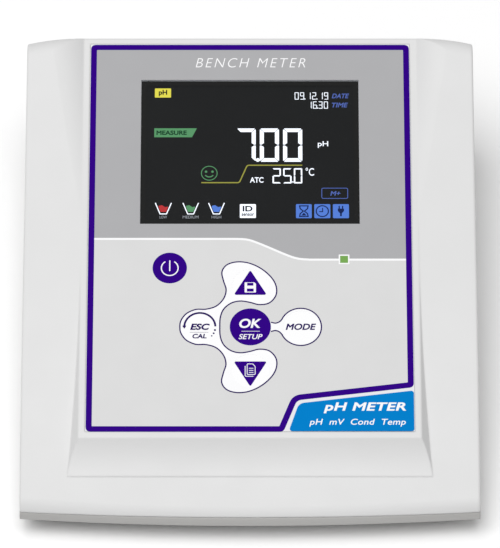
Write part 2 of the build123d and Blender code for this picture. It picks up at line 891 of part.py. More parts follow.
# bayonet socket of the electrode: a shell with two lugs round an insulated contact
socket_tip = rear_y + socket_reach
shell_radius = 4.83
shell_inside = 4.1
shell_depth = 8.2
insulator_radius = 2.4
contact_radius = 0.7
lug_place = socket_tip - 4.4
lug_reach = 5.7
lug_height = 1.2
with BuildPart() as ph_socket:
    add(bore(ph_x, 7.4, plate_y - 9, plate_y))
    add(bore(ph_x, ph_neck, plate_y, plate_face_y + 4))
    add(bore(ph_x, shell_radius, plate_face_y + 4, socket_tip))
    add(bore(ph_x, shell_inside, socket_tip - shell_depth, socket_tip + 1), mode=Mode.SUBTRACT)
    add(bore(ph_x, insulator_radius, socket_tip - shell_depth, socket_tip - 1.6))
    add(bore(ph_x, contact_radius, socket_tip - 6, socket_tip), mode=Mode.SUBTRACT)
    for lug_low in (socket_z - lug_reach, socket_z + lug_reach - lug_height):
        with BuildSketch(Plane.XY.offset(lug_low)):
            with Locations((ph_x, lug_place)):
                Circle(1.0)
        extrude(amount=lug_height)
finish(ph_socket, "ph_socket")

# washer and hexagon nut on the neck of the electrode socket
washer_radius = 8.2
washer_thickness = 0.6
nut_across_flats = 14.4
nut_height = 2.4
nut_bore = ph_neck + 0.07
with BuildPart() as ph_socket_nut:
    with BuildSketch(Plane.XZ.offset(-plate_face_y)):
        with Locations((ph_x, socket_z)):
            Circle(washer_radius)
            Circle(nut_bore, mode=Mode.SUBTRACT)
    extrude(amount=-washer_thickness)
    with BuildSketch(Plane.XZ.offset(-plate_face_y - washer_thickness)):
        with Locations((ph_x, socket_z)):
            RegularPolygon(nut_across_flats / 2, 6, major_radius=False)
            Circle(nut_bore, mode=Mode.SUBTRACT)
    extrude(amount=-nut_height)
finish(ph_socket_nut, "ph_socket_nut")

# 4 mm laboratory socket of the reference electrode
plug_bore = 2.02
with BuildPart() as reference_socket:
    add(bore(reference_x, 5.6, plate_y - 12, plate_y))
    add(bore(reference_x, reference_neck, plate_y, plate_face_y))
    add(bore(reference_x, 6.0, plate_face_y, plate_face_y + 3.2))
    fillet(reference_socket.faces().sort_by(Axis.Y)[-1].edges(), 0.6)
    add(bore(reference_x, plug_bore, plate_y - 9, plate_face_y + 5), mode=Mode.SUBTRACT)
finish(reference_socket, "reference_socket")

# cinch socket of the temperature probe: a barrel round a pin hole
barrel_radius = 4.15
barrel_length = 8.0
pin_hole = 1.6
flange_thickness = 1.2
with BuildPart() as temperature_socket:
    barrel_start = plate_face_y + flange_thickness
    barrel_end = barrel_start + barrel_length
    add(bore(temperature_x, 6.4, plate_y - 7, plate_y))
    add(bore(temperature_x, temperature_neck, plate_y, plate_face_y))
    add(bore(temperature_x, 6.4, plate_face_y, barrel_start))
    add(bore(temperature_x, barrel_radius, barrel_start, barrel_end))
    add(bore(temperature_x, pin_hole, plate_face_y + 0.5, barrel_end + 1), mode=Mode.SUBTRACT)
finish(temperature_socket, "temperature_socket")

# round multi-pin socket of the conductivity cell
pin_circle = 3.6
pin_count = 7
ring_reach = 2.4
ring_inside = 6.9
insert_radius = 5.6
with BuildPart() as conductivity_socket:
    well = plate_face_y - 3.6
    add(bore(conductivity_x, 9.2, plate_y - 9, plate_y))
    add(bore(conductivity_x, conductivity_neck, plate_y, plate_face_y))
    add(bore(conductivity_x, 9.2, plate_face_y, plate_face_y + ring_reach))
    fillet(conductivity_socket.faces().sort_by(Axis.Y)[-1].edges(), 0.5)
    add(bore(conductivity_x, ring_inside, well, plate_face_y + 3), mode=Mode.SUBTRACT)
finish(conductivity_socket, "conductivity_socket")

with BuildPart() as conductivity_insert:
    add(bore(conductivity_x, insert_radius, well, plate_face_y + ring_reach - 1))
    with BuildSketch(Plane.XZ.offset(-plate_face_y - 2)):
        with Locations((conductivity_x, socket_z)):
            with PolarLocations(
                pin_circle,
                pin_count,
                start_angle=-60,
                angular_range=300,
                endpoint=True,
            ):
                Circle(0.55)
    extrude(amount=5, mode=Mode.SUBTRACT)
finish(conductivity_insert, "conductivity_insert")

# square data socket with its contact tongue
usb_mouth = (8.4, 7.7)
usb_tongue = (5.6, 3.2)
with BuildPart() as usb_socket:
    with BuildSketch(Plane.XZ.offset(-plate_face_y - 0.8)):
        with Locations((usb_x, socket_z)):
            Rectangle(*usb_shell)
    extrude(amount=16)
    with BuildSketch(Plane.XZ.offset(-plate_face_y - 1)):
        with Locations((usb_x, socket_z)):
            Rectangle(*usb_mouth)
    extrude(amount=12, mode=Mode.SUBTRACT)
    with BuildSketch(Plane.XZ.offset(-plate_face_y + 1)):
        with Locations((usb_x, socket_z)):
            Rectangle(*usb_tongue)
    extrude(amount=11)
finish(usb_socket, "usb_socket")

# barrel socket of the power adapter round its centre pin
power_mouth = 3.2
power_pin = 1.0
with BuildPart() as power_socket:
    add(bore(power_x, 6.0, plate_y - 12, plate_y))
    add(bore(power_x, power_neck, plate_y, plate_face_y))
    add(bore(power_x, 6.0, plate_face_y, plate_face_y + 1.4))
    add(bore(power_x, power_mouth, plate_y - 9, plate_face_y + 2), mode=Mode.SUBTRACT)
    add(bore(power_x, power_pin, plate_y - 9, plate_face_y - 0.5))
finish(power_socket, "power_socket")
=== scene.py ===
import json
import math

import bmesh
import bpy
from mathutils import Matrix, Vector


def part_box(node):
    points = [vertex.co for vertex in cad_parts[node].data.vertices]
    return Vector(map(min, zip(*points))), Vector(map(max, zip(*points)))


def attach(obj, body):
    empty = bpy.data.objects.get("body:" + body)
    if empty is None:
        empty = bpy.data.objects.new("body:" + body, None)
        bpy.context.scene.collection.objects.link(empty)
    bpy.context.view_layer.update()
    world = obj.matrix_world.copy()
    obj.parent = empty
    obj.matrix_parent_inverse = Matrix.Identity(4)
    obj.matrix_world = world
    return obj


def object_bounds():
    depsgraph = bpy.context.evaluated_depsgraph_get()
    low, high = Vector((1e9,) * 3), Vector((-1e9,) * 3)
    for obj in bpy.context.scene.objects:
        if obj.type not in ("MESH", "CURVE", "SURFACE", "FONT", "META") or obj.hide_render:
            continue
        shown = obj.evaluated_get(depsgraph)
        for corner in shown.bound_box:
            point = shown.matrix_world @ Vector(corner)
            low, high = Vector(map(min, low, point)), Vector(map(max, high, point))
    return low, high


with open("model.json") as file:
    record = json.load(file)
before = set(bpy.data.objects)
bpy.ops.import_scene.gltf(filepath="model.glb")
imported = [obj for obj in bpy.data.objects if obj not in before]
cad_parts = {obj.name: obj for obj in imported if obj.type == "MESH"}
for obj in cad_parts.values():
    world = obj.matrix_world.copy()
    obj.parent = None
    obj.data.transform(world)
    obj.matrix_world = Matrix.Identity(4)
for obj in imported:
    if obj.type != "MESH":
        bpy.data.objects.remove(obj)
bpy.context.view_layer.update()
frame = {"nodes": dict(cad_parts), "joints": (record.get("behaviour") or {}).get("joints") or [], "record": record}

# Looks of the bench pH meter: materials of its CAD parts, the graphics printed on
# its front film, what its display shows, rear labels, studio, light and camera.
#
# Graphics on the sloped panel are laid out in millimetres: u runs right from the
# panel's middle line, w runs up the slope from its front edge, h stands off it.

mm = 0.001

# ------------------------------------------------------------------ the panel frame

film_margin = 2.4              # bare case between the panel's edge and the film
film_thickness = 0.4
press = next(j for j in frame["joints"] if j["name"] == "ok_press")
normal = -Vector(press["axis"]).normalized()
up_slope = Vector((0, normal.z, -normal.y))
film_low, film_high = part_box("overlay_film")
film_rise = (film_high - film_low).y * normal.z - (film_high - film_low).z * -normal.y
film_length = film_rise / (normal.z**2 - normal.y**2)
film_centre = (film_low + film_high) / 2 + normal * film_thickness * mm / 2
panel_origin = film_centre - up_slope * (film_length / 2 + film_margin * mm)


def frame_matrix(origin, right, up, out):
    """Matrix from a flat layout in millimetres to the part's frame in metres."""
    turn = Matrix((right, up, out)).transposed().to_4x4()
    return Matrix.Translation(origin) @ turn @ Matrix.Scale(mm, 4)


PANEL = frame_matrix(panel_origin, Vector((1, 0, 0)), up_slope, normal)


def on_panel(node):
    """Middle of a CAD node in panel millimetres."""
    low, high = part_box(node)
    return PANEL.inverted() @ ((low + high) / 2)


# ---------------------------------------------------------------------- materials


def srgb(red, green, blue):
    """Linear colour of three 8-bit values."""
    def linear(value):
        value = value / 255
        return value / 12.92 if value <= 0.04045 else ((value + 0.055) / 1.055) ** 2.4
    return (linear(red), linear(green), linear(blue), 1.0)


def link(tree, source, target):
    tree.links.new(source, target)


def add_node(tree, kind, **values):
    """New shader node with some of its inputs or settings given by name."""
    node = tree.nodes.new(kind)
    for key, value in values.items():
        if key in node.inputs:
            node.inputs[key].default_value = value
        else:
            setattr(node, key, value)
    return node


def noise(tree, scale, detail=3.0, stretch=None):
    """Noise over the part's own coordinates; scale counts features in a metre."""
    place = tree.nodes.new("ShaderNodeTexCoord")
    texture = add_node(tree, "ShaderNodeTexNoise", Scale=scale, Detail=detail)
    source = place.outputs["Object"]
    if stretch:
        mapping = add_node(tree, "ShaderNodeMapping", Scale=stretch)
        link(tree, source, mapping.inputs["Vector"])
        source = mapping.outputs["Vector"]
    link(tree, source, texture.inputs["Vector"])
    return texture.outputs["Fac"]


def spread(tree, source, low, high):
    """Maps the middle of a noise to the range from low to high."""
    ranged = add_node(tree, "ShaderNodeMapRange")
    ranged.inputs["From Min"].default_value = 0.3
    ranged.inputs["From Max"].default_value = 0.7
    ranged.inputs["To Min"].default_value = low
    ranged.inputs["To Max"].default_value = high
    link(tree, source, ranged.inputs["Value"])
    return ranged.outputs["Result"]


def surface(
    name,
    colour,
    roughness,
    metallic=0.0,
    mottle=(40.0, 0.03),
    grain=(2200.0, 0.01),
    rough_spread=0.05,
    stretch=None,
    coat=0.0,
    specular=0.5,
    glow=0.0,
    soft_edge=0.0,
):
    """Finished material: uneven tone, uneven gloss and a fine surface texture.

    mottle is (features in a metre, change of tone); grain is (features in a metre,
    depth in millimetres); stretch draws the grain out along an axis, as brushing does;
    soft_edge is the radius in millimetres that sharp edges are shaded with.
    """
    material = bpy.data.materials.new(name)
    material.use_nodes = True
    tree = material.node_tree
    shader = tree.nodes["Principled BSDF"]
    shader.inputs["Metallic"].default_value = metallic
    shader.inputs["Coat Weight"].default_value = coat
    shader.inputs["Coat Roughness"].default_value = 0.12
    shader.inputs["Specular IOR Level"].default_value = specular
    material.diffuse_color = colour

    tone = spread(tree, noise(tree, mottle[0]), 1 - mottle[1], 1 + mottle[1])
    shade = add_node(tree, "ShaderNodeHueSaturation", Color=colour)
    link(tree, tone, shade.inputs["Value"])
    link(tree, shade.outputs["Color"], shader.inputs["Base Color"])

    gloss = spread(
        tree, noise(tree, mottle[0] * 6, stretch=stretch),
        roughness - rough_spread, roughness + rough_spread,
    )
    link(tree, gloss, shader.inputs["Roughness"])

    bump = add_node(tree, "ShaderNodeBump", Strength=1.0, Distance=grain[1] * mm)
    link(tree, noise(tree, grain[0], 4.0, stretch), bump.inputs["Height"])
    link(tree, bump.outputs["Normal"], shader.inputs["Normal"])
    if soft_edge:
        eased = add_node(tree, "ShaderNodeBevel", Radius=soft_edge * mm, samples=6)
        link(tree, eased.outputs["Normal"], bump.inputs["Normal"])
    if glow:
        link(tree, shade.outputs["Color"], shader.inputs["Emission Color"])
        shader.inputs["Emission Strength"].default_value = glow
    return material


def clear_plastic(name, tint, roughness):
    """Thin clear sheet: light passes straight through and only its outside reflects."""
    material = bpy.data.materials.new(name)
    material.use_nodes = True
    tree = material.node_tree
    shader = tree.nodes["Principled BSDF"]
    shader.inputs["Base Color"].default_value = tint
    shader.inputs["IOR"].default_value = 1.49
    gloss = spread(tree, noise(tree, 300.0), roughness, roughness + 0.03)
    link(tree, gloss, shader.inputs["Roughness"])
    bump = add_node(tree, "ShaderNodeBump", Strength=0.4, Distance=0.002 * mm)
    link(tree, noise(tree, 900.0), bump.inputs["Height"])
    link(tree, bump.outputs["Normal"], shader.inputs["Normal"])
    passing = add_node(tree, "ShaderNodeBsdfTransparent", Color=(0.97, 0.98, 1.0, 1))
    facing = add_node(tree, "ShaderNodeFresnel", IOR=1.1)
    side = tree.nodes.new("ShaderNodeNewGeometry")
    outer = add_node(tree, "ShaderNodeMath", operation="SUBTRACT")
    outer.inputs[0].default_value = 1.0
    link(tree, side.outputs["Backfacing"], outer.inputs[1])
    share = add_node(tree, "ShaderNodeMath", operation="MULTIPLY")
    link(tree, facing.outputs["Fac"], share.inputs[0])
    link(tree, outer.outputs["Value"], share.inputs[1])
    mixed = add_node(tree, "ShaderNodeMixShader")
    link(tree, share.outputs["Value"], mixed.inputs["Fac"])
    link(tree, passing.outputs["BSDF"], mixed.inputs[1])
    link(tree, shader.outputs["BSDF"], mixed.inputs[2])
    link(tree, mixed.outputs["Shader"], tree.nodes["Material Output"].inputs["Surface"])
    return material


def circuit_board(name):
    """Green solder mask with copper tracks showing through as lighter lines."""
    material = surface(name, srgb(16, 92, 52), 0.35, coat=0.4, grain=(1500.0, 0.006))
    tree = material.node_tree
    shader = tree.nodes["Principled BSDF"]
    place = tree.nodes.new("ShaderNodeTexCoord")
    tracks = add_node(tree, "ShaderNodeTexBrick", Scale=160.0)
    tracks.inputs["Color1"].default_value = srgb(14, 84, 48)
    tracks.inputs["Color2"].default_value = srgb(18, 98, 56)
    tracks.inputs["Mortar"].default_value = srgb(38, 128, 78)
    tracks.inputs["Mortar Size"].default_value = 0.05
    link(tree, place.outputs["Object"], tracks.inputs["Vector"])
    link(tree, tracks.outputs["Color"], shader.inputs["Base Color"])
    return material


case_grain = (1500.0, 0.018)
film_grain = (3200.0, 0.004)
violet = srgb(46, 2, 124)
printed_white = srgb(240, 240, 241)
MATERIALS = {
    "case_plastic": surface(
        "case_plastic", srgb(213, 213, 213), 0.5, mottle=(14.0, 0.01), grain=case_grain,
        specular=0.35, soft_edge=1.0,
    ),
    # the lower shell's grey is set darker than the case plastic as painted shade: it stands in for the shade on
    # this downward-facing shell
    "base_plastic": surface(
        "base_plastic", srgb(178, 177, 175), 0.5, mottle=(14.0, 0.012), grain=case_grain,
        specular=0.35, soft_edge=0.8,
    ),
    "rear_plastic": surface(
        "rear_plastic", srgb(62, 62, 66), 0.5, grain=(1800.0, 0.02), soft_edge=0.3
    ),
    "overlay": surface(
        "overlay", srgb(222, 222, 224), 0.38, mottle=(90.0, 0.01), grain=film_grain, specular=0.2
    ),
    "badge": surface(
        "badge", srgb(0, 121, 193), 0.34, mottle=(90.0, 0.01), grain=film_grain, specular=0.01
    ),
    "window": clear_plastic("window", srgb(12, 12, 14), 0.06),
    "lcd": surface("lcd", srgb(35, 35, 34), 0.4, grain=(4000.0, 0.002), specular=0.02),
    "black_plastic": surface("black_plastic", srgb(26, 26, 28), 0.45, soft_edge=0.3),
    "foam": surface("foam", srgb(44, 44, 46), 0.95, grain=(3000.0, 0.12)),
    "diffuser": surface("diffuser", srgb(235, 238, 242), 0.5),
    "green_light": surface(
        "green_light", srgb(104, 152, 66), 0.3, grain=(2500.0, 0.004), specular=0.2, glow=0.1
    ),
    "led_body": surface("led_body", srgb(240, 236, 220), 0.3),
    "circuit_board": circuit_board("circuit_board"),
    "screw_steel": surface(
        "screw_steel", srgb(190, 191, 195), 0.3, metallic=1.0, grain=(2600.0, 0.01),
        stretch=(1.0, 8.0, 1.0), soft_edge=0.15,
    ),
    "brass": surface(
        "brass", srgb(206, 168, 92), 0.28, metallic=1.0, grain=(2400.0, 0.012),
        stretch=(1.0, 1.0, 9.0),
    ),
    "rubber": surface("rubber", srgb(40, 40, 41), 0.85, grain=(1400.0, 0.05)),
    "label": surface("label", srgb(204, 205, 208), 0.35, grain=(2600.0, 0.004)),
    "ribbon": surface(
        "ribbon", srgb(222, 222, 228), 0.4, grain=(900.0, 0.05), stretch=(6.0, 0.05, 0.05)
    ),
    "ribbon_socket": surface("ribbon_socket", srgb(224, 214, 188), 0.5),
    "nickel": surface(
        "nickel", srgb(205, 203, 198), 0.22, metallic=1.0, grain=(2400.0, 0.006),
        stretch=(1.0, 7.0, 1.0), soft_edge=0.15,
    ),
    "red_plastic": surface(
        "red_plastic", srgb(178, 24, 26), 0.3, coat=0.2, soft_edge=0.3
    ),
    "tinned_steel": surface(
        "tinned_steel", srgb(212, 213, 216), 0.35, metallic=1.0, grain=(1500.0, 0.01)
    ),
    "chip": surface("chip", srgb(30, 30, 33), 0.6, grain=(2600.0, 0.02)),
    "capacitor_sleeve": surface("capacitor_sleeve", srgb(30, 40, 78), 0.3, coat=0.3),
    "cell_steel": surface(
        "cell_steel", srgb(215, 215, 214), 0.25, metallic=1.0, stretch=(8.0, 1.0, 1.0)
    ),
    "key_violet": surface(
        "key_violet", violet, 0.38, mottle=(90.0, 0.015), grain=film_grain, specular=0.01
    ),
    "key_white": surface(
        "key_white", printed_white, 0.38, mottle=(90.0, 0.006), grain=film_grain, specular=0.15
    ),
    "plunger_plastic": surface("plunger_plastic", srgb(206, 206, 204), 0.45),
    "switch_button": surface("switch_button", srgb(34, 34, 36), 0.4),
}

for part in frame["record"]["subparts"]:
    carried = frame["nodes"][part["node"]]
    carried.data.materials.clear()
    carried.data.materials.append(MATERIALS[part["material_slot"]])



def ink(name, colour, glow=0.0):
    """Printed colour on the film, or a lit field of the display."""
    return surface(
        name, colour, 0.38, mottle=(90.0, 0.01), grain=film_grain, specular=0.01, glow=glow
    )


INKS = {
    "violet": ink("ink_violet", violet),
    "outline": ink("ink_outline", srgb(38, 16, 88)),
    "white": ink("ink_white", printed_white),
    "light_grey": ink("ink_light_grey", srgb(209, 209, 209)),
    "dark_grey": ink("ink_dark_grey", srgb(167, 167, 169)),
    "lit_white": ink("lit_white", srgb(232, 234, 236), 0.5),
    "dim_white": ink("dim_white", srgb(150, 152, 154), 0.2),
    "lit_yellow": ink("lit_yellow", srgb(205, 194, 70), 0.3),
    "dim_yellow": ink("dim_yellow", srgb(146, 142, 62), 0.2),
    "lit_green": ink("lit_green", srgb(84, 138, 92), 0.2),
    "lit_blue": ink("lit_blue", srgb(80, 116, 190), 0.25),
    "dim_blue": ink("dim_blue", srgb(80, 98, 160), 0.2),
    "lit_red": ink("lit_red", srgb(176, 52, 52), 0.2),
    "dark": ink("ink_dark", srgb(30, 34, 34)),
    "dark_green": ink("ink_dark_green", srgb(24, 62, 40)),
    "dark_blue": ink("ink_dark_blue", srgb(28, 40, 82)),
}

# ------------------------------------------------------------------ flat outlines


def circle(centre, radius, steps=72):
    """Closed round outline."""
    turns = [2 * math.pi * i / steps for i in range(steps)]
    return [(centre[0] + radius * math.cos(t), centre[1] + radius * math.sin(t)) for t in turns]


def arc(centre, radius, start, end, steps=32):
    """Open round path between two angles in degrees."""
    turns = [math.radians(start + (end - start) * i / steps) for i in range(steps + 1)]
    return [(centre[0] + radius * math.cos(t), centre[1] + radius * math.sin(t)) for t in turns]


def box(left, bottom, right, top):
    """Closed rectangle."""
    return [(left, bottom), (right, bottom), (right, top), (left, top)]


def round_corner(before, corner, after, radius, steps=8):
    """Points of an arc that rounds one corner of a path."""
    corner = Vector(corner)
    to_before = Vector(before) - corner
    to_after = Vector(after) - corner
    half = to_before.angle(to_after) / 2
    reach = min(radius / math.tan(half), to_before.length * 0.49, to_after.length * 0.49)
    start = corner + to_before.normalized() * reach
    end = corner + to_after.normalized() * reach
    points = []
    for i in range(steps + 1):
        t = i / steps
        bend = start * (1 - t) ** 2 + corner * 2 * t * (1 - t) + end * t**2
        points.append(tuple(bend))
    return points


def rounded(points, *radii):
    """Closed outline with its corners rounded by one radius, or each by its own."""
    count = len(points)
    made = []
    for i in range(count):
        radius = radii[i % len(radii)]
        made += round_corner(points[i - 1], points[i], points[(i + 1) % count], radius)
    return made


def rounded_path(points, radius):
    """Open path with every inner corner rounded."""
    made = [points[0]]
    for before, corner, after in zip(points, points[1:], points[2:]):
        made += round_corner(before, corner, after, radius)
    return made + [points[-1]]


def smooth(points, steps=6, closed=True):
    """Curve through points, by Catmull-Rom spans."""
    count = len(points)
    made = []
    for i in range(count if closed else count - 1):
        picks = [i - 1, i, i + 1, i + 2]
        if closed:
            a, b, c, d = (Vector(points[p % count]) for p in picks)
        else:
            a, b, c, d = (Vector(points[min(max(p, 0), count - 1)]) for p in picks)
        for step in range(steps):
            t = step / steps
            made.append(tuple(
                (b * 2 + (c - a) * t + (a * 2 - b * 5 + c * 4 - d) * t**2
                 + (b * 3 - a - c * 3 + d) * t**3) / 2
            ))
    if not closed:
        made.append(tuple(points[-1]))
    return made


def sides(path, width, closed):
    """Two copies of a path, half a width to its left and right."""
    left, right = [], []
    count = len(path)
    for i, point in enumerate(path):
        before = path[i - 1] if closed or i else point
        after = path[(i + 1) % count] if closed or i < count - 1 else point
        run_in = Vector(point) - Vector(before)
        run_out = Vector(after) - Vector(point)
        run_in = run_in.normalized() if run_in.length else run_out.normalized()
        run_out = run_out.normalized() if run_out.length else run_in
        along = (run_in + run_out).normalized()
        across = Vector((-along.y, along.x))
        lean = max(across.dot(Vector((-run_in.y, run_in.x))), 0.4)
        offset = across * width / 2 / lean
        left.append(tuple(Vector(point) + offset))
        right.append(tuple(Vector(point) - offset))
    return left, right


def stroke(path, width):
    """Closed outline of an open path drawn with a width."""
    left, right = sides(path, width, closed=False)
    return [left + right[::-1]]


def ring(path, width):
    """Outer and inner outline of a closed path drawn with a width."""
    return list(sides(path, width, closed=True))


# ------------------------------------------------------------------- thin prints


def settle(name, source, layout, height, thickness, material, body, fit=None):
    """Turns a flat curve into a closed thin mesh that lies on a layout plane.

    fit, where given, is the box in millimetres that the shape is stretched to fill.
    """
    holder = bpy.data.objects.new(name + "_source", source)
    bpy.context.scene.collection.objects.link(holder)
    bpy.context.view_layer.update()
    mesh = bpy.data.meshes.new_from_object(holder)
    bpy.data.objects.remove(holder)
    bm = bmesh.new()
    bm.from_mesh(mesh)
    bmesh.ops.remove_doubles(bm, verts=bm.verts, dist=0.0008)
    bmesh.ops.recalc_face_normals(bm, faces=bm.faces)
    if fit:
        lows = [min(v.co[k] for v in bm.verts) for k in (0, 1)]
        highs = [max(v.co[k] for v in bm.verts) for k in (0, 1)]
        for v in bm.verts:
            for k in (0, 1):
                share = (v.co[k] - lows[k]) / (highs[k] - lows[k])
                v.co[k] = fit[k] + share * (fit[k + 2] - fit[k])
    top = max(v.co.z for v in bm.verts)
    for v in bm.verts:
        v.co.z = height + thickness * (v.co.z / top + 1) / 2
    bmesh.ops.transform(bm, matrix=layout, verts=bm.verts)
    bm.to_mesh(mesh)
    bm.free()
    mesh.materials.clear()
    mesh.materials.append(material)
    piece = bpy.data.objects.new(name, mesh)
    bpy.context.scene.collection.objects.link(piece)
    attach(piece, body)
    return piece


def print_shape(name, loops, height, material, body="root",
                thickness=0.02, layout=PANEL):
    """Thin print from closed outlines, where an outline inside another cuts a hole."""
    curve = bpy.data.curves.new(name, "CURVE")
    curve.dimensions = "2D"
    curve.fill_mode = "BOTH"
    curve.extrude = thickness / 2
    for loop in loops:
        spline = curve.splines.new("POLY")
        spline.points.add(len(loop) - 1)
        for point, (u, w) in zip(spline.points, loop):
            point.co = (u, w, 0, 1)
        spline.use_cyclic_u = True
    return settle(name, curve, layout, height, thickness, material, body)


letter_depth = 4.0             # deep, so that flattening leaves no slope on a bevelled letter


def print_words(name, words, fit, height, material, body="root", slot="overlay",
                slant=0.0, weight=0.0, spacing=1.0, thickness=0.02, layout=PANEL):
    """Thin lettering stretched to fill a box of left, bottom, right and top.

    weight is how far the strokes are widened on each side.
    """
    curve = bpy.data.curves.new(name, "FONT")
    curve.body = words
    curve.size = 10.0
    curve.shear = slant
    if weight < 0:
        curve.offset = weight
    else:
        curve.bevel_depth = weight
        curve.bevel_resolution = 0
    curve.space_character = spacing
    curve.extrude = letter_depth
    curve.resolution_u = 6
    return settle(name, curve, layout, height, thickness, material, body, fit=fit)


# ---------------------------------------------------------------- printed panel

KEYS = ("power", "up", "down", "esc", "ok", "mode")
key_centre = {}
key_radius = {}
for key in KEYS:
    middle = on_panel("key_" + key)
    low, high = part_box("key_" + key)
    key_centre[key] = (middle.x, middle.y)
    key_radius[key] = (high.x - low.x) / 2 / mm
overlap = 0.08                 # the prints reach this far over the edge of a key
key_holes = [circle(key_centre[key], key_radius[key] - overlap) for key in KEYS]

frame_side = 56.1
frame_low = 3.3
frame_high = 154.7
frame_line = 2.1
badge_corners = [(frame_side, 20.3), (15.6, 15.3), (10.9, frame_low)]
divider_high = 77.4
divider_low = 69.2
divider_fall = [
    (-4.5, divider_high), (-0.5, 77.0), (4.5, 75.0), (13.0, 71.0), (17.0, 69.6), (21.0, divider_low)
]
divider_left = [(-frame_side, divider_high)] + smooth(divider_fall, closed=False)

# heights off the film: grey fields, then what lies on them, then marks on top
field_low = 0.002
print_low = 0.024
mark_low = 0.046

window_low, window_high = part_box("display_window")
window_middle = on_panel("display_window")
window_half_u = (window_high.x - window_low.x) / 2 / mm
window_half_w = 29.0           # half the window's length up the slope
window_edge = box(
    -window_half_u, window_middle.y - window_half_w, window_half_u, window_middle.y + window_half_w
)
light_middle = on_panel("status_light_pipe")
light_half = 1.4
light_border = 0.5
light_left = light_middle.x - light_half
light_right = light_middle.x + light_half


def light_box(margin):
    """Square at the status light, grown by a margin."""
    reach = light_half + margin
    return box(light_middle.x - reach, light_middle.y - reach,
               light_middle.x + reach, light_middle.y + reach)


def divider_past_light(level):
    """Line between the two grey fields, led past the status light at a level."""
    return divider_left + [
        (light_left, divider_low), (light_left, level), (light_right, level),
        (light_right, divider_low), (frame_side, divider_low),
    ]


frame_corners = badge_corners + [
    (-frame_side, frame_low), (-frame_side, frame_high), (frame_side, frame_high)
]
frame_outside, frame_inside = sides(frame_corners, frame_line, closed=True)
frame_outside = rounded(frame_outside, 1.9, 2.9, 2.0, 1.9, 1.9, 1.9)
frame_inside = rounded(frame_inside, 0.3, 5.0, 0.4, 0.3, 0.3, 0.3)
print_shape(
    "field_lower",
    [divider_past_light(light_middle.y - light_half) + badge_corners + [(-frame_side, frame_low)]]
    + key_holes,
    field_low, INKS["light_grey"],
)
print_shape(
    "field_upper",
    [divider_past_light(light_middle.y + light_half)
     + [(frame_side, frame_high), (-frame_side, frame_high)],
     window_edge],
    field_low, INKS["dark_grey"],
)
divider_width = 0.8
print_shape(
    "divider_line_left",
    stroke(divider_left + [(light_left - light_border, divider_low)], divider_width),
    print_low, INKS["white"],
)
print_shape(
    "divider_line_right",
    stroke([(light_right + light_border, divider_low), (frame_side, divider_low)], divider_width),
    print_low, INKS["white"],
)
print_shape("frame_line", [frame_outside, frame_inside], mark_low, INKS["violet"])

# white fields round the keys: a C shape round OK, and a bubble on a neck at its right
key_line = key_centre["ok"][1]
petal_half = [
    (-10.4, 46.6), (-9.2, 49.8), (-6.6, 52.1), (-3.4, 52.9), (-0.1, 52.4), (3.3, 51.5),
    (6.8, 52.2), (9.1, 55.1), (9.2, 58.7), (7.5, 62.2), (4.0, 65.6), (-0.3, 67.8),
    (-4.6, 68.3), (-8.2, 67.1), (-9.9, 64.3), (-9.3, 60.7), (-8.4, 57.3), (-9.3, 53.8),
    (-11.9, 50.9), (-15.5, 49.7), (-19.0, 49.6), (-22.3, 48.0), (-24.2, 45.3),
]
petal_ends = [(-10.6, key_line), (-24.6, key_line)]


def below(points):
    """The same points mirrored about the line of the OK key, in reverse order."""
    return [(u, 2 * key_line - w) for u, w in reversed(points)]


petal = smooth([petal_ends[0]] + petal_half + [petal_ends[1]] + below(petal_half))
neck = smooth([(7.38, 44.6), (8.9, 44.25), (10.3, 44.75), (11.35, 45.95)], closed=False)
bubble = neck + arc(key_centre["mode"], 7.25, 153.0, -153.0, 48) + below(neck)
outline_width = 0.46
petal_keys = [circle(key_centre[key], key_radius[key] - overlap) for key in ("esc", "up", "down")]
bubble_key = [circle(key_centre["mode"], key_radius["mode"] - overlap)]
print_shape("petal_field", [petal] + petal_keys, print_low, INKS["white"])
print_shape("bubble_field", [bubble] + bubble_key, print_low, INKS["white"])
print_shape("petal_outline", ring(petal, outline_width), mark_low, INKS["outline"])
print_shape("bubble_outline", stroke(bubble, outline_width), mark_low, INKS["outline"])
print_shape("light_border", [light_box(light_border), light_box(0)], mark_low, INKS["white"])
print_words(
    "title", "BENCH METER", (-19.5, 146.5, 19.9, 150.3), print_low, INKS["white"],
    slant=0.25, weight=-0.13, spacing=1.25,
)

# ------------------------------------------------------------------ key symbols


def key_body(key):
    return key + "_key"


def around(key, points):
    """Points given from a key's middle, in panel millimetres."""
    return [(key_centre[key][0] + u, key_centre[key][1] + w) for u, w in points]


def around_box(key, left, bottom, right, top):
    """Box given from a key's middle, in panel millimetres."""
    u, w = key_centre[key]
    return (u + left, w + bottom, u + right, w + top)


symbol_low = 0.004             # heights off a key: its symbol, and marks on that
symbol_high = 0.026


def key_slot(key):
    """Material slot of a key."""
    return "key_violet" if key in ("ok", "power") else "key_white"


def key_shape(name, key, loops, colour, height=symbol_low):
    """Symbol printed on a key, which moves with it."""
    print_shape(name, loops, height, INKS[colour], key_body(key))


def key_words(name, key, words, fit, colour, **style):
    """Word printed on a key, which moves with it."""
    print_words(name, words, around_box(key, *fit), symbol_low, INKS[colour],
                key_body(key), key_slot(key), **style)


key_shape(
    "power_ring", "power", stroke(arc(key_centre["power"], 2.95, 122.0, 418.0, 48), 0.42), "white"
)
key_shape("power_bar", "power", stroke(around("power", [(0, -1.2), (0, 3.0)]), 0.42), "white")

key_words("ok_word", "ok", "OK", (-3.9, -0.45, 3.9, 3.2), "white", slant=0.2, weight=0.3)
key_shape("ok_rule", "ok", stroke(around("ok", [(-3.1, -1.7), (3.3, -1.7)]), 0.16), "white")
key_words("ok_setup", "ok", "SETUP", (-4.1, -4.8, 4.3, -2.8), "white", slant=0.25, weight=0.15)

key_words("mode_word", "mode", "MODE", (-5.3, -1.2, 5.4, 1.3), "outline", slant=0.22, weight=0.3)

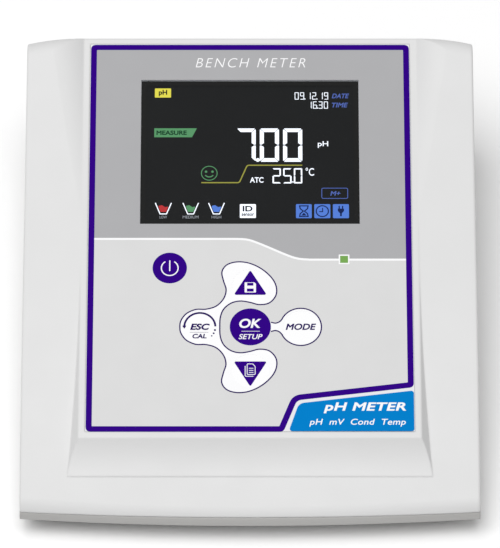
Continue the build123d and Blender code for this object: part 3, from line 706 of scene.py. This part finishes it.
key_words("esc_word", "esc", "ESC", (-3.4, -1.2, 3.5, 1.3), "outline", slant=0.22, weight=0.4)
key_shape("esc_rule", "esc", stroke(around("esc", [(-3.5, -2.1), (3.0, -2.1)]), 0.12), "outline")
key_words("esc_cal", "esc", "CAL", (-2.6, -4.5, 2.4, -2.7), "outline", slant=0.15, weight=0.35)
cal_radius = 5.45
key_shape(
    "esc_arc", "esc", stroke(arc(key_centre["esc"], cal_radius, 2.0, 176.0, 48), 0.7), "outline"
)
arrow = around("esc", [(-cal_radius - 0.75, 0.5), (-cal_radius + 0.75, 0.5), (-cal_radius, -0.75)])
key_shape("esc_arrow", "esc", [rounded(arrow, 0.15)], "outline", symbol_high)
dots = []
for angle, size in ((-13.0, 0.38), (-27.0, 0.33), (-40.0, 0.27)):
    turn = math.radians(angle)
    middle = (cal_radius * math.cos(turn), cal_radius * math.sin(turn))
    dots.append(circle(around("esc", [middle])[0], size, 20))
key_shape("esc_dots", "esc", dots, "outline")

# the up and down keys: a triangle with a storage disc, and one with a sheet of paper
triangle_half = 5.83
triangle_height = 9.75
up_base = 55.35
down_base = 29.35
up_triangle = [(-triangle_half, up_base), (triangle_half, up_base), (0, up_base + triangle_height)]
down_triangle = [
    (triangle_half, down_base), (-triangle_half, down_base), (0, down_base - triangle_height)
]
middle_u = key_centre["ok"][0]


def shifted(points, du, dw=0.0):
    return [(u + du, w + dw) for u, w in points]


key_shape("up_triangle", "up", [rounded(shifted(up_triangle, middle_u), 0.5)], "violet")
key_shape("down_triangle", "down", [rounded(shifted(down_triangle, middle_u), 0.5)], "violet")

disc_half = 2.0
disc_base = up_base + 0.9
disc = [
    (-disc_half, 0), (disc_half, 0), (disc_half, 3.4), (disc_half - 0.6, 4.0), (-disc_half, 4.0)
]
shutter = box(-1.1, 2.7, 1.1, 3.8)
disc_label = box(-1.2, 0.35, 1.2, 1.55)
key_shape(
    "up_disc", "up",
    [rounded(shifted(disc, middle_u, disc_base), 0.25)]
    + [shifted(shape, middle_u, disc_base) for shape in (disc_label, shutter)],
    "white", symbol_high,
)
sheet_base = down_base - 5.25
sheet = [(-1.1, 0.2), (1.7, 0.2), (1.7, 3.3), (0.8, 4.3), (-1.1, 4.3)]
back_sheet = [(1.1, -0.5), (-1.8, -0.5), (-1.8, 3.5)]
key_shape(
    "down_sheet", "down", ring(rounded(shifted(sheet, middle_u, sheet_base), 0.3), 0.26),
    "white", symbol_high,
)
key_shape(
    "down_back_sheet", "down",
    stroke(rounded_path(shifted(back_sheet, middle_u, sheet_base), 0.4), 0.26),
    "white", symbol_high,
)
lines = []
for rise in (1.0, 1.8, 2.6):
    lines += stroke(shifted([(-0.5, rise), (1.1, rise)], middle_u, sheet_base), 0.22)
key_shape("down_lines", "down", lines, "white", symbol_high)

# ------------------------------------------------------------------------ badge

badge_print = 0.302            # just above the badge, which is 0.3 thick
print_words(
    "badge_word", "pH METER", (25.6, 9.2, 54.4, 13.4), badge_print, INKS["white"],
    slot="badge", slant=0.2, weight=0.3, spacing=1.05,
)
print_words(
    "badge_ranges", "pH  mV  Cond  Temp", (20.6, 4.1, 54.2, 7.1), badge_print, INKS["white"],
    slot="badge", slant=0.2, weight=0.12, spacing=1.05,
)

# ---------------------------------------------------------------------- display

SEGMENTS = {
    "0": "abcdef", "1": "bc", "2": "abged", "3": "abgcd", "5": "afgcd",
    "6": "afgedc", "7": "abc", "9": "abcdfg",
}


def digit(symbol, left, bottom, width, height, bar):
    """Outlines of the lit bars of one seven-bar figure."""
    gap = bar * 0.12
    half = height / 2
    deep = bar * 0.55
    top_bar = [
        (gap, height), (width - gap, height), (width - bar, height - bar), (bar, height - bar)
    ]
    low_bar = [(u, height - w) for u, w in reversed(top_bar)]
    right_top = [
        (width, height - gap), (width, half + gap), (width - bar * 0.4, half + gap),
        (width - bar, half + deep), (width - bar, height - bar - gap),
    ]
    right_low = [(u, height - w) for u, w in reversed(right_top)]
    left_top = [(width - u, w) for u, w in reversed(right_top)]
    left_low = [(width - u, w) for u, w in reversed(right_low)]
    middle = [
        (bar * 0.6, half), (bar, half + bar / 2), (width - bar, half + bar / 2),
        (width - bar * 0.6, half), (width - bar, half - bar / 2), (bar, half - bar / 2),
    ]
    bars = dict(a=top_bar, b=right_top, c=right_low, d=low_bar, e=left_low, f=left_top, g=middle)
    return [
        rounded(shifted(bars[letter], left, bottom), bar * 0.16) for letter in SEGMENTS[symbol]
    ]


def figures(text, left, bottom, width, height, bar, pitch, room=0.0):
    """Outlines of a row of figures; a dot sits in the gap after one, a space adds room."""
    loops = []
    gap = pitch - width
    for symbol in text:
        if symbol == ".":
            dot = min(bar * 0.9, gap / 2)
            loops.append(circle((left - gap / 2, bottom + dot), dot, 20))
        elif symbol == " ":
            left += room
        else:
            loops += digit(symbol, left, bottom, width, height, bar)
            left += pitch
    return loops


picture_rise = 0.45            # the whole picture sits this far up the window
PICTURE = PANEL @ Matrix.Translation((0, picture_rise, 0))
lit_low = -0.99                # lit fields lie under the window, marks on them higher
lit_high = -0.955
lit_thickness = 0.03
mask_low = -0.79               # the black border is on the window's underside
mask_thickness = 0.01


def lit(name, loops, colour, height=lit_low):
    """Lit field of the display."""
    print_shape(name, loops, height, INKS[colour],
                thickness=lit_thickness, layout=PICTURE)


def lit_words(name, words, fit, colour, height=lit_low, **style):
    """Lit word of the display."""
    print_words(name, words, fit, height, INKS[colour], slot="lcd",
                thickness=lit_thickness, layout=PICTURE, **style)


mask_inside = box(-37.0, window_middle.y - 27.0, 37.0, window_middle.y + 27.0)
mask_margin = 0.1
mask_outside = box(
    -window_half_u + mask_margin, window_middle.y - window_half_w + mask_margin,
    window_half_u - mask_margin, window_middle.y + window_half_w - mask_margin,
)
print_shape(
    "window_mask", [mask_outside, mask_inside], mask_low, MATERIALS["lcd"],
    thickness=mask_thickness,
)

lit("tag_unit", [rounded(box(-34.1, 134.3, -28.3, 138.0), 0.3)], "lit_yellow")
lit_words("tag_unit_word", "pH", (-32.7, 134.8, -29.7, 137.4), "dark", lit_high,
          weight=0.3)
lit("tag_task", [[(-34.2, 118.2), (-20.7, 118.2), (-19.0, 121.8), (-34.2, 121.8)]], "lit_green")
lit_words("tag_task_word", "MEASURE", (-33.4, 119.1, -22.6, 120.9), "dark_green", lit_high,
          weight=0.3)

lit("reading", figures("7.00", -4.8, 108.3, 6.85, 13.45, 1.45, 8.3), "lit_white")
lit_words("reading_unit", "pH", (24.2, 113.9, 27.9, 116.6), "lit_white", weight=0.1)
lit("warmth", figures("25.0", 8.0, 99.6, 3.0, 6.1, 0.52, 3.8), "lit_white")
lit_words("warmth_unit", "°C", (19.8, 102.7, 22.8, 105.9), "lit_white", weight=0.06)
lit_words("warmth_mode", "ATC", (0.0, 99.9, 4.8, 102.1), "lit_white", weight=0.2)
steps = [(-17.3, 99.9), (-3.8, 99.9), (-1.0, 106.9), (18.6, 106.9)]
lit("reading_line", stroke(rounded_path(steps, 1.2), 0.45), "dim_yellow")

smile = (-14.5, 103.7)
lit("steady_face", ring(circle(smile, 2.8), 0.3), "lit_green")
lit("steady_eyes", [circle((smile[0] + side, smile[1] + 0.6), 0.45, 24) for side in (-1.15, 1.15)],
    "lit_green")
lit("steady_mouth", stroke(arc((smile[0], smile[1] + 0.2), 1.7, 215.0, 325.0), 0.4), "lit_green")

lit("store_box", ring(rounded(box(25.5, 93.6, 34.7, 97.7), 0.6), 0.26), "dim_blue")
lit_words("store_word", "M+", (28.5, 94.7, 32.2, 96.5), "dim_blue", slant=0.2, weight=0.3)

tile_low = 85.7
tile_high = 91.3
tiles = ((16.3, 21.9), (22.8, 28.5), (29.4, 35.1))
for number, (left, right) in enumerate(tiles):
    lit(f"tile_{number + 1}", [rounded(box(left, tile_low, right, tile_high), 0.45)], "lit_blue")
tile_middle = [((left + right) / 2, (tile_low + tile_high) / 2) for left, right in tiles]
glass_half = [(-1.5, 2.1), (1.5, 2.1), (1.3, 1.0), (0.2, 0.0)]
sand_clock = glass_half + [(u, -w) for u, w in reversed(glass_half)]
sand_clock += [(-1.3, -1.0), (-0.2, 0.0), (-1.3, 1.0)]
lit("tile_sand_clock", ring(shifted(sand_clock, *tile_middle[0]), 0.42), "dark_blue", lit_high)
lit("tile_sand", [shifted([(-0.9, -1.7), (0.9, -1.7), (0.0, -0.6)], *tile_middle[0])],
    "dark_blue", lit_high)
lit("tile_clock", ring(circle(tile_middle[1], 2.15), 0.42), "dark_blue", lit_high)
lit("tile_clock_hands",
    stroke(shifted([(-1.1, -0.2), (0.1, -0.2), (0.1, 1.3)], *tile_middle[1]), 0.34),
    "dark_blue", lit_high)
plug = [(-1.1, 1.0), (1.1, 1.0), (1.1, 0.1), (0.3, -0.9), (0.3, -2.0), (-0.3, -2.0), (-0.3, -0.9),
        (-1.1, 0.1)]
lit("tile_plug", [shifted(plug, *tile_middle[2])]
    + [shifted(box(side - 0.22, 1.0, side + 0.22, 2.1), *tile_middle[2]) for side in (-0.6, 0.6)],
    "dark_blue", lit_high)

beaker_low = 87.4
beaker_high = 91.8
beaker_taper = 1.7
for name, left, right, colour, words, reach in (
    ("low", -33.6, -27.9, "lit_red", "LOW", 1.3),
    ("medium", -23.8, -18.3, "lit_green", "MEDIUM", 2.8),
    ("high", -14.7, -9.1, "lit_blue", "HIGH", 1.7),
):
    middle = (left + right) / 2
    cup = [(left, beaker_high), (left + beaker_taper, beaker_low),
           (right - beaker_taper, beaker_low), (right, beaker_high)]
    lit(f"beaker_{name}", stroke(cup, 0.36), "lit_white")
    liquid = [(left + 1.8, 88.2), (right - 1.8, 88.2), (right - 1.0, 90.4), (middle + 0.6, 90.1),
              (middle - 0.5, 90.9), (left + 1.0, 90.6)]
    lit(f"beaker_{name}_liquid", [rounded(liquid, 0.4)], colour)
    lit_words(f"beaker_{name}_word", words, (middle - reach, 85.6, middle + reach, 86.7),
              "dim_white")

lit("probe_tile", [rounded(box(-3.6, 85.8, 2.1, 91.3), 0.4)], "lit_white")
lit_words("probe_tile_word", "ID", (-2.6, 88.4, 0.9, 90.6), "dark", lit_high, weight=0.3)
lit_words("probe_tile_small", "sensor", (-3.0, 86.6, 1.5, 87.6), "dark", lit_high,
          weight=0.25)

lit("date", figures("09. 12. 19", 16.0, 133.5, 1.45, 2.9, 0.25, 1.95, 0.4), "lit_white")
lit("time", figures("16.30", 20.6, 129.8, 1.45, 2.9, 0.25, 1.95), "lit_white")
lit_words("date_word", "DATE", (29.3, 134.0, 35.5, 135.9), "dim_blue", slant=0.25, weight=0.25)
lit_words("time_word", "TIME", (29.3, 130.3, 35.1, 132.2), "dim_blue", slant=0.25, weight=0.25)

# --------------------------------------------------------- rear and underside print

plate_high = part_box("rear_panel")[1]
REAR = frame_matrix(
    Vector((0, plate_high.y, 0)), Vector((-1, 0, 0)), Vector((0, 0, 1)), Vector((0, 1, 0))
)
plain_print = 0.002            # prints on plain faces stand this far off them
label_rise = 9.4               # socket names start this far above the sockets' line
label_height = 1.4
label_gap = 0.8                # and at least this far above the socket itself
letter_half = 0.75             # half the room of one letter
for socket, words in (
    ("ph_socket", "pH"), ("reference_socket", "REF"), ("temperature_socket", "TEMP"),
    ("conductivity_socket", "COND"), ("usb_socket", "USB"), ("power_socket", "DC"),
):
    low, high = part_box(socket)
    middle = (low + high) / 2 / mm
    half = letter_half * len(words)
    bottom = max(middle.z + label_rise, high.z / mm + label_gap)
    fit = (-middle.x - half, bottom, -middle.x + half, bottom + label_height)
    print_words("rear_" + socket, words, fit, plain_print, INKS["white"], slot="rear_plastic",
                weight=0.04, layout=REAR)

label_low, label_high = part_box("rating_label")
UNDER = frame_matrix(
    Vector((0, 0, label_low.z)), Vector((-1, 0, 0)), Vector((0, 1, 0)), Vector((0, 0, -1))
)
border_margin = 1.6
rule_margin = 4.0
label_half_u = label_high.x / mm - border_margin
label_half_w = label_high.y / mm - border_margin
label_border = rounded(box(-label_half_u, -label_half_w, label_half_u, label_half_w), 1.4)
print_shape("label_border", ring(label_border, 0.35), plain_print, INKS["outline"],
            layout=UNDER)
rules = []
for row in (-7.0, 1.0, 9.0):
    rules += stroke([(-label_half_u + rule_margin, row), (label_half_u - rule_margin, row)], 0.25)
print_shape("label_rules", rules, plain_print, INKS["outline"], layout=UNDER)

# ----------------------------------------------------------- floor, light and camera

part_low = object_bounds()[0]
floor_half = 6.0               # metres
floor_gap = 0.0002             # metres between the floor and the feet
floor_mesh = bpy.data.meshes.new("floor")
floor_bm = bmesh.new()
bmesh.ops.create_grid(floor_bm, x_segments=1, y_segments=1, size=floor_half)
floor_bm.to_mesh(floor_mesh)
floor_bm.free()
floor_mesh.materials.append(
    surface("floor", srgb(250, 250, 250), 0.9, mottle=(3.0, 0.004), grain=(300.0, 0.02))
)
floor = bpy.data.objects.new("floor", floor_mesh)
floor.location.z = part_low[2] - floor_gap
bpy.context.scene.collection.objects.link(floor)


def soft_light(name, place, size, power):
    """Square area light that looks at the middle of the panel."""
    lamp = bpy.data.lights.new(name, "AREA")
    lamp.shape = "SQUARE"
    lamp.size = size
    lamp.energy = power
    holder = bpy.data.objects.new(name, lamp)
    holder.location = place
    aim = Vector((0, 0, 0.03)) - Vector(place)
    holder.rotation_euler = aim.to_track_quat("-Z", "Y").to_euler()
    bpy.context.scene.collection.objects.link(holder)


soft_light("key_light", (-0.3, -0.3, 1.9), 1.7, 36.0)

world = bpy.data.worlds.new("studio")
world.use_nodes = True
world.node_tree.nodes["Background"].inputs["Color"].default_value = (1.0, 1.0, 1.0, 1.0)
world.node_tree.nodes["Background"].inputs["Strength"].default_value = 0.34
bpy.context.scene.world = world
bpy.context.scene.view_settings.view_transform = "Standard"

camera_distance = 1.94         # metres
camera_target = 79.3           # up the slope from the panel's front edge
camera_elevation = 51.0        # of the ray to the middle of the panel
aim_above = 0.416              # that ray meets the picture this far above its middle
panel_middle = panel_origin + up_slope * camera_target * mm
lens_data = bpy.data.cameras.new("camera")
lens_data.sensor_fit = "VERTICAL"
lens_data.sensor_height = 24.0
lens_data.angle_y = math.radians(5.72)
lens_data.clip_start = 0.05
camera = bpy.data.objects.new("camera", lens_data)
lift = math.radians(camera_elevation)
camera.location = panel_middle + camera_distance * Vector((0, -math.cos(lift), math.sin(lift)))
camera.rotation_euler = (math.radians(90 - camera_elevation - aim_above), 0, 0)
bpy.context.scene.collection.objects.link(camera)
bpy.context.scene.camera = camera
